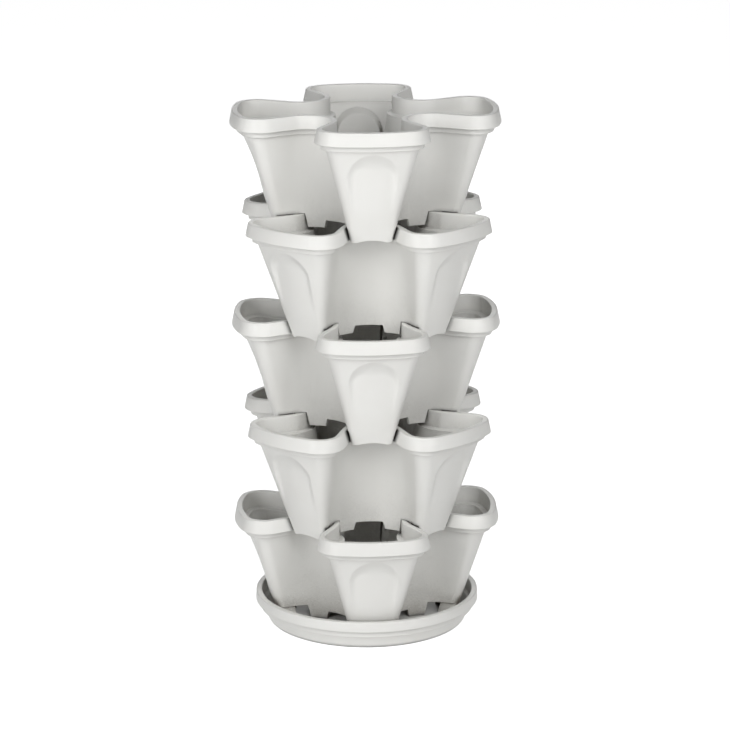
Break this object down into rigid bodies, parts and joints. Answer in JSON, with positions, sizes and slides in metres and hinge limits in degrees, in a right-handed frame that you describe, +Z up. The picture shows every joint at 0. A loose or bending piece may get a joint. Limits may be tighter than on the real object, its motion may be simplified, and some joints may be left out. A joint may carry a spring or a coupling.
{
  "type": "vertical planter tower",
  "caption": "Tower of stacked four-lobed planter pots, each turned half a lobe on the one below, standing in a round drip saucer.",
  "frame": {"origin": "centre of the saucer's underside, on the surface that the tower stands on", "axes": "+Z up the tower; -Y towards the viewer, where a lobe of the bottom pot points; +X to the viewer's right"},
  "size_m": [0.33, 0.33, 0.65],
  "materials": {
    "pot_plastic": "satin injection-moulded polypropylene, stone white",
    "saucer_plastic": "satin injection-moulded polypropylene, stone white"
  },
  "bodies": {
    "saucer": {"saucer": "saucer_plastic"},
    "pot_1": {"pot_tier_1": "pot_plastic"},
    "pot_2": {"pot_tier_2": "pot_plastic"},
    "pot_3": {"pot_tier_3": "pot_plastic"},
    "pot_4": {"pot_tier_4": "pot_plastic"},
    "pot_5": {"pot_tier_5": "pot_plastic"}
  },
  "joints": [
    {"name": "lift_pot_1", "type": "slide", "parent": "saucer", "child": "pot_1", "axis": [0, 0, 1], "range_m": [0, 0.06]},
    {"name": "lift_pot_2", "type": "slide", "parent": "pot_1", "child": "pot_2", "axis": [0, 0, 1], "range_m": [0, 0.06]},
    {"name": "lift_pot_3", "type": "slide", "parent": "pot_2", "child": "pot_3", "axis": [0, 0, 1], "range_m": [0, 0.06]},
    {"name": "lift_pot_4", "type": "slide", "parent": "pot_3", "child": "pot_4", "axis": [0, 0, 1], "range_m": [0, 0.06]},
    {"name": "lift_pot_5", "type": "slide", "parent": "pot_4", "child": "pot_5", "axis": [0, 0, 1], "range_m": [0, 0.06]}
  ]
}
